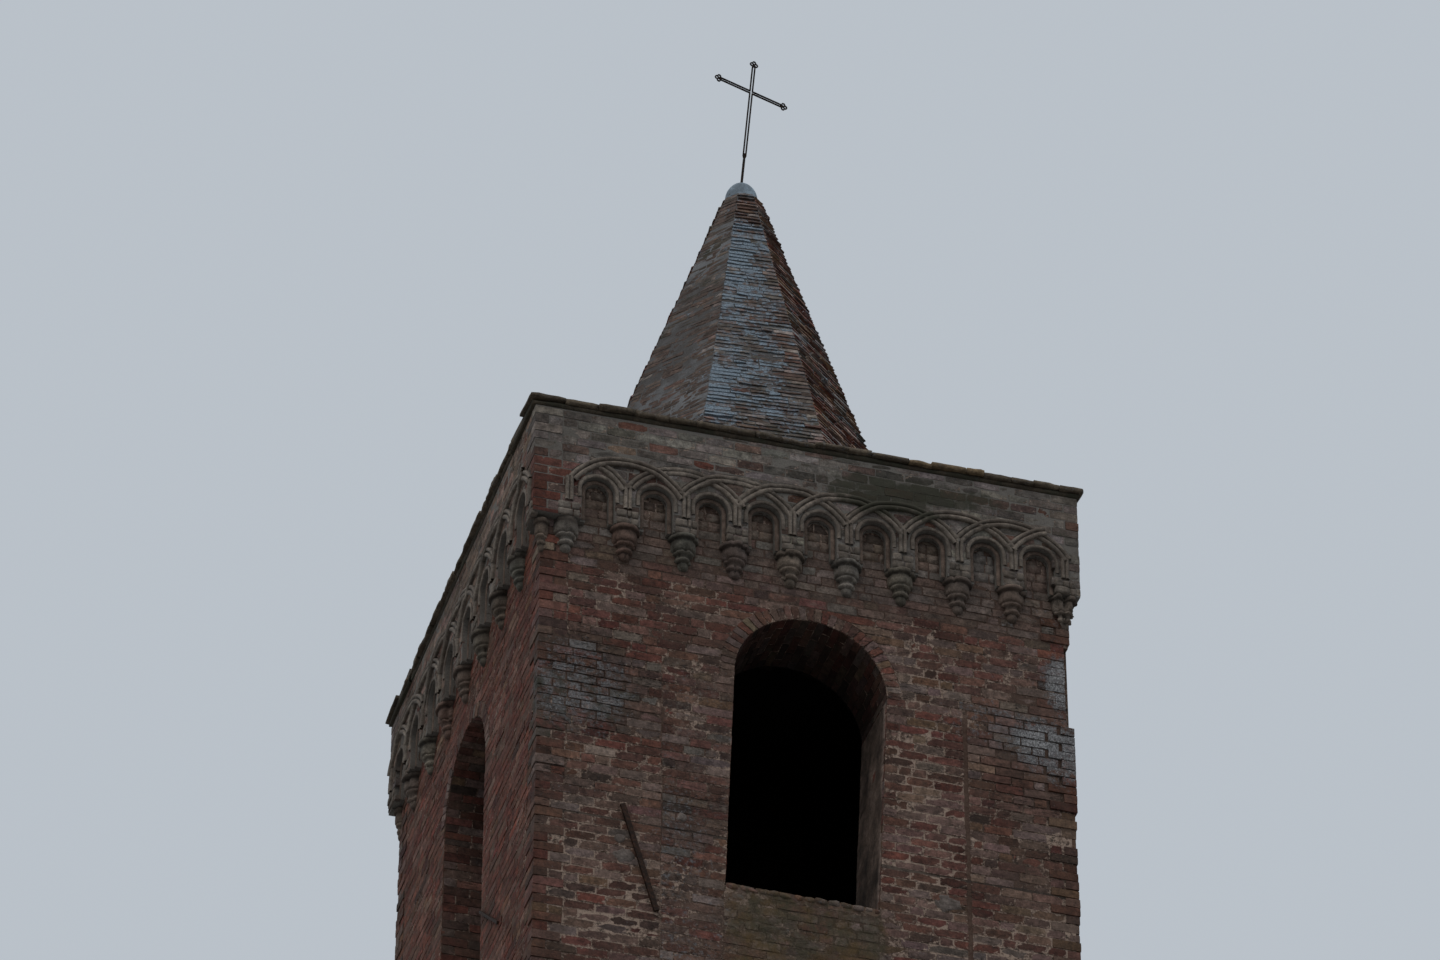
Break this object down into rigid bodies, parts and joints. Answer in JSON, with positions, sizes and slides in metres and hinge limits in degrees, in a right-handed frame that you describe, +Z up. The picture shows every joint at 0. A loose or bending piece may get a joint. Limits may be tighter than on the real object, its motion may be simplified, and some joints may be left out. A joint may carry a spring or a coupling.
{
  "type": "brick bell tower",
  "caption": "Square brick bell tower with round-headed belfry openings, a cornice of interlaced arches on corbels, and an eight-sided brick spire with a leaning iron cross.",
  "frame": {"origin": "centre of the square footprint, at ground level, on the underside of the ground floor", "axes": "+Z up; -Y is the front with the tie anchor and the narrowed opening; -X is the left face"},
  "size_m": [5.1178, 5.116, 27.085],
  "materials": {
    "brick": "weathered red-brown brick with pale lime joints",
    "later_brick": "weathered brick of a later narrowing",
    "render": "greenish grey lime render over brick",
    "arch_brick": "radial brick voussoirs",
    "cornice_brick": "grey-green weathered brick with mortar wash",
    "moulded_terracotta": "moulded terracotta with grey patina",
    "coping_tile": "flat tiles bedded in mortar, lichen",
    "floor_mortar": "rough lime mortar",
    "spire_brick": "stepped brick courses with grey-blue lichen",
    "cap_stone": "smooth weathered mortar dome",
    "wrought_iron": "dark rusted wrought iron"
  },
  "bodies": {
    "root": {"lower_wall_front": "brick", "lower_wall_back": "brick", "lower_wall_left": "brick", "lower_wall_right": "brick", "belfry_piers_front": "brick", "belfry_piers_back": "brick", "belfry_piers_left": "brick", "belfry_piers_right": "brick", "belfry_head_front": "brick", "belfry_head_back": "brick", "belfry_head_left": "brick", "belfry_head_right": "brick", "sill_wall_back": "brick", "sill_wall_left": "brick", "sill_wall_right": "brick", "narrowing_front": "later_brick", "sill_infill_front": "render", "arch_ring_front": "arch_brick", "arch_ring_back": "arch_brick", "arch_ring_left": "arch_brick", "arch_ring_right": "arch_brick", "cornice_front": "cornice_brick", "cornice_back": "cornice_brick", "cornice_left": "cornice_brick", "cornice_right": "cornice_brick", "interlaced_arches_front": "moulded_terracotta", "interlaced_arches_back": "moulded_terracotta", "interlaced_arches_left": "moulded_terracotta", "interlaced_arches_right": "moulded_terracotta", "corbels_front": "moulded_terracotta", "corbels_back": "moulded_terracotta", "corbels_left": "moulded_terracotta", "corbels_right": "moulded_terracotta", "coping_front": "coping_tile", "coping_back": "coping_tile", "coping_left": "coping_tile", "coping_right": "coping_tile", "belfry_floor": "floor_mortar", "roof_slab": "floor_mortar", "ground_floor": "floor_mortar", "spire": "spire_brick", "spire_cap": "cap_stone", "cross_rod": "wrought_iron", "cross": "wrought_iron", "tie_anchors": "wrought_iron"}
  },
  "joints": []
}
